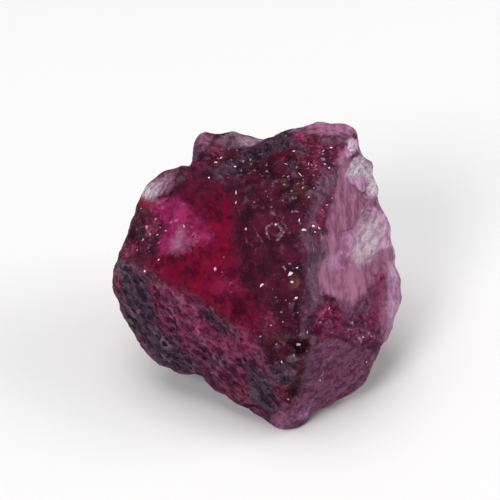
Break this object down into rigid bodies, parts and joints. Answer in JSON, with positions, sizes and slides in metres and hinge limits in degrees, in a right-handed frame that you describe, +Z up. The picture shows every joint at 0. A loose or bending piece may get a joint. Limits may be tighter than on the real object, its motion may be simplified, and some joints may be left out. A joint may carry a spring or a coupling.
{
  "type": "raw ruby crystal",
  "caption": "Rough broken ruby crystal: a frosted purple-red stone with a raised ridge, a glassy crimson window, a pitted slate flank and a flat face to rest on.",
  "frame": {"origin": "on the flat resting face, under the middle of the stone's bounding box", "axes": "+Z up from the resting face; +X to the right across the side with the window and the ridge, along the longest extent; -Y towards the foot of the ridge"},
  "size_m": [0.0292, 0.0242, 0.0226],
  "materials": {
    "ruby": "satin"
  },
  "bodies": {
    "root": {"ruby_crystal": "ruby"}
  },
  "joints": []
}
